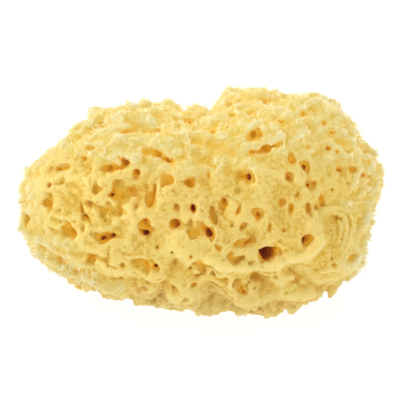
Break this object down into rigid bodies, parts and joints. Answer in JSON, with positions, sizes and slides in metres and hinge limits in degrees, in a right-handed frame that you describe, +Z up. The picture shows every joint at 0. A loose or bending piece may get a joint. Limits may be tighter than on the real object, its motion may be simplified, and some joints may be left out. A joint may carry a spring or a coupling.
{
  "type": "sea sponge",
  "caption": "Natural honeycomb bath sponge: a rounded bun with an open face of pores, a fleecy top, back and ends, and a flat place to rest on.",
  "frame": {"origin": "under the middle of the sponge, on the surface that it lies on", "axes": "+X to the right along the length, +Y from the open face to the back, +Z up"},
  "size_m": [0.1488, 0.1128, 0.0895],
  "materials": {
    "sponge_fibre": "soft, dull, pale golden fibre"
  },
  "bodies": {
    "root": {"sponge": "sponge_fibre"}
  },
  "joints": []
}
